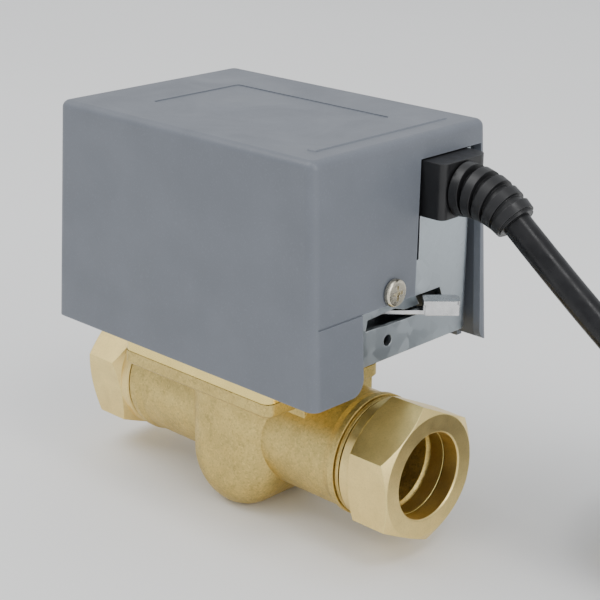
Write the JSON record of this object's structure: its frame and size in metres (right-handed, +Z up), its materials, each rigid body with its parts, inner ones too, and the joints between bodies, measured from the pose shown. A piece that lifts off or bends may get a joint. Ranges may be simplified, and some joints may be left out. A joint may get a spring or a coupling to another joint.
{
  "type": "motorized zone valve",
  "caption": "Spring-return zone valve for heating pipes: brass compression body, grey actuator cover, manual lever and flying supply cord.",
  "frame": {"origin": "on the pipe axis, midway between the two compression nuts", "axes": "+X along the pipe to the near port, on the cord's side; +Y to the back; +Z up through the spindle and the cover"},
  "size_m": [0.2148, 0.1225, 0.1045],
  "materials": {
    "brass_cast": "rough cast",
    "brass_nut": "turned and satin",
    "brass_bright": "turned",
    "brass_machined": "machined bright",
    "rubber_black": "matte",
    "screw_steel": "zinc plated",
    "spindle_steel": "ground",
    "rubber_ball": "matte",
    "galvanized_steel": "galvanized",
    "cover_screw": "passivated zinc",
    "gear_steel": "stamped",
    "spring_steel": "drawn wire",
    "lever_steel": "zinc plated",
    "gear_plastic": "moulded",
    "ferrite": "ground",
    "motor_steel": "zinc plated",
    "coil_tape": "wound tape",
    "switch_plastic": "moulded",
    "plunger_plastic": "moulded",
    "cover_grey": "moulded satin",
    "grommet_black": "moulded",
    "cord_sheath": "satin sheath",
    "core_brown": "insulation",
    "core_blue": "insulation",
    "core_orange": "insulation",
    "core_grey": "insulation",
    "core_earth": "green and yellow insulation",
    "copper": "bare copper"
  },
  "bodies": {
    "base": {"valve_body": "brass_cast", "olive_near": "brass_bright", "olive_far": "brass_bright", "bonnet_plate": "brass_machined", "bonnet_seal": "rubber_black", "bonnet_screws": "screw_steel", "chassis": "galvanized_steel", "chassis_screws": "screw_steel", "earth_screw": "brass_bright", "cover_screw": "cover_screw", "return_spring": "spring_steel", "lever_pivot": "spindle_steel", "motor_lower_plate": "galvanized_steel", "motor_upper_plate": "galvanized_steel", "motor_pillars": "spindle_steel", "gear_standoffs": "spindle_steel", "motor_can": "motor_steel", "stator_coil": "coil_tape", "stator_poles": "motor_steel", "motor_screws": "screw_steel", "switch_case": "switch_plastic", "switch_terminals": "brass_bright", "switch_screws": "screw_steel", "cord_grommet": "grommet_black", "cord_entry": "cord_sheath", "supply_cord": "cord_sheath", "cord_coil": "cord_sheath", "core_brown": "core_brown", "core_blue": "core_blue", "core_orange": "core_orange", "core_grey": "core_grey", "core_earth": "core_earth", "core_conductors": "copper"},
    "spindle": {"spindle": "spindle_steel", "spindle_orings": "rubber_black", "ball_arm": "brass_bright", "rubber_ball": "rubber_ball", "quadrant_gear": "gear_steel"},
    "output": {"output_gear": "gear_steel"},
    "intermediate": {"intermediate_gear": "gear_plastic"},
    "rotor": {"rotor_shaft": "spindle_steel", "rotor_magnet": "ferrite"},
    "lever": {"manual_lever": "lever_steel"},
    "plunger": {"switch_plunger": "plunger_plastic"},
    "cover": {"cover": "cover_grey"},
    "nut_near": {"compression_nut_near": "brass_nut"},
    "nut_far": {"compression_nut_far": "brass_nut"}
  },
  "joints": [
    {"name": "spindle_turn", "type": "hinge", "parent": "base", "child": "spindle", "pos_m": [0, 0.0055, 0], "axis": [0, 0, 1], "range_deg": [0, 60], "stiffness_Nm_per_rad": 0.03, "springref_deg": -28.65},
    {"name": "output_gear_turn", "type": "hinge", "parent": "base", "child": "output", "pos_m": [-0.02583, -0.00654, 0], "axis": [0, 0, 1], "range_deg": [-320, 0]},
    {"name": "intermediate_gear_turn", "type": "hinge", "parent": "base", "child": "intermediate", "pos_m": [-0.02351, 0.00828, 0], "axis": [0, 0, 1], "range_deg": [0, 1280]},
    {"name": "rotor_turn", "type": "hinge", "parent": "base", "child": "rotor", "pos_m": [-0.011, 0, 0], "axis": [0, 0, 1], "range_deg": [-5120, 0]},
    {"name": "lever_swing", "type": "hinge", "parent": "base", "child": "lever", "pos_m": [0.027, -0.0102, 0], "axis": [0, 0, 1], "range_deg": [-38, 0]},
    {"name": "switch_press", "type": "slide", "parent": "base", "child": "plunger", "axis": [0, 1, 0], "range_m": [0, 0.0012]},
    {"name": "cover_lift", "type": "slide", "parent": "base", "child": "cover", "axis": [0, 0, 1], "range_m": [0, 0.06]},
    {"name": "nut_near_turn", "type": "hinge", "parent": "base", "child": "nut_near", "pos_m": [0.048, 0, 0], "axis": [1, 0, 0], "continuous": true},
    {"name": "nut_far_turn", "type": "hinge", "parent": "base", "child": "nut_far", "pos_m": [-0.048, 0, 0], "axis": [1, 0, 0], "continuous": true}
  ],
  "couplings": [
    {"joint": "output_gear_turn", "follows": "spindle_turn", "ratio": -5.3333},
    {"joint": "intermediate_gear_turn", "follows": "spindle_turn", "ratio": 21.333},
    {"joint": "rotor_turn", "follows": "spindle_turn", "ratio": -85.333},
    {"joint": "lever_swing", "follows": "spindle_turn", "ratio": -0.63333},
    {"joint": "switch_press", "follows": "spindle_turn", "m_per_rad": 0.0011459}
  ]
}
